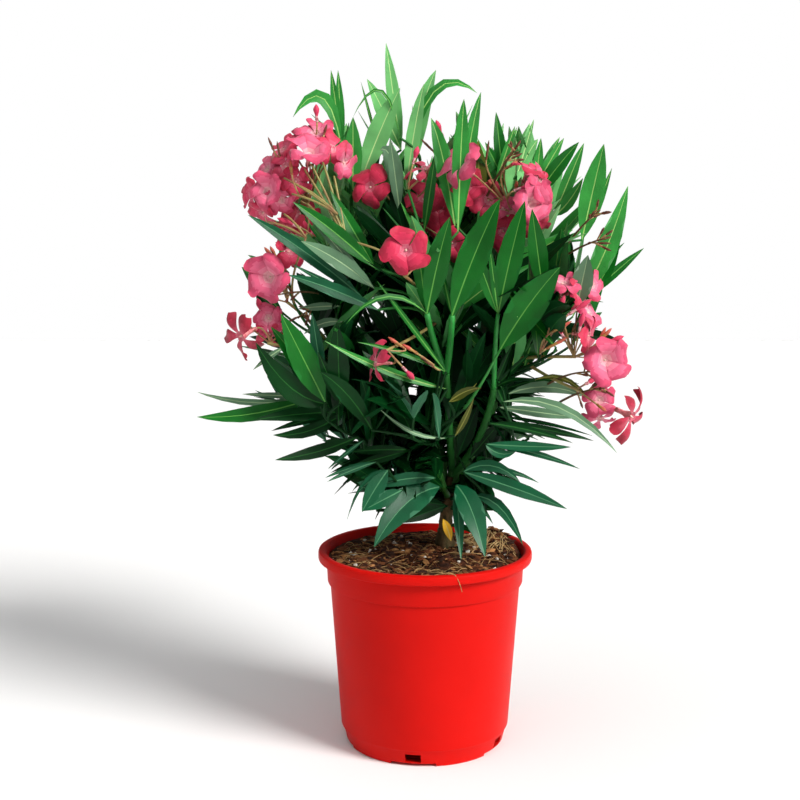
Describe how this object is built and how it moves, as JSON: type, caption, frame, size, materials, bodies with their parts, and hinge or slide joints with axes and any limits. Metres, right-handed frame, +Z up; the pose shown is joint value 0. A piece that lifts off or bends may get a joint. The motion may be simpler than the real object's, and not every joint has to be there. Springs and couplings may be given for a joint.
{
  "type": "potted oleander",
  "caption": "Young oleander shrub in a tapered plastic nursery pot, with whorls of long narrow leaves and clusters of funnel-shaped flowers.",
  "frame": {"origin": "centre of the pot's flat underside", "axes": "+Z up along the pot's axis; -Y is the front, which the picture faces; +X is the viewer's right"},
  "size_m": [0.448, 0.3803, 0.719],
  "materials": {
    "pot": "satin",
    "soil": "rough",
    "bark": "rough",
    "stem": "satin",
    "foliage": "satin",
    "petal": "satin"
  },
  "bodies": {
    "root": {"pot": "pot", "soil": "soil", "trunk": "bark", "bough_centre": "stem", "bough_right": "stem", "bough_left": "stem", "bough_back": "stem", "bough_top_left": "stem", "bough_top_right": "stem", "bough_left_low": "stem", "bough_right_low": "stem", "bough_rear": "stem", "bough_rear_low": "stem", "bough_front_low": "stem", "foliage_centre": "foliage", "foliage_top": "foliage", "foliage_top_left": "foliage", "foliage_top_right": "foliage", "foliage_left": "foliage", "foliage_right": "foliage", "foliage_rear": "foliage", "foliage_left_low": "foliage", "foliage_right_low": "foliage", "foliage_front_low": "foliage", "foliage_rear_low": "foliage", "skirt_left": "foliage", "skirt_right": "foliage", "skirt_back": "foliage"}
  },
  "joints": []
}
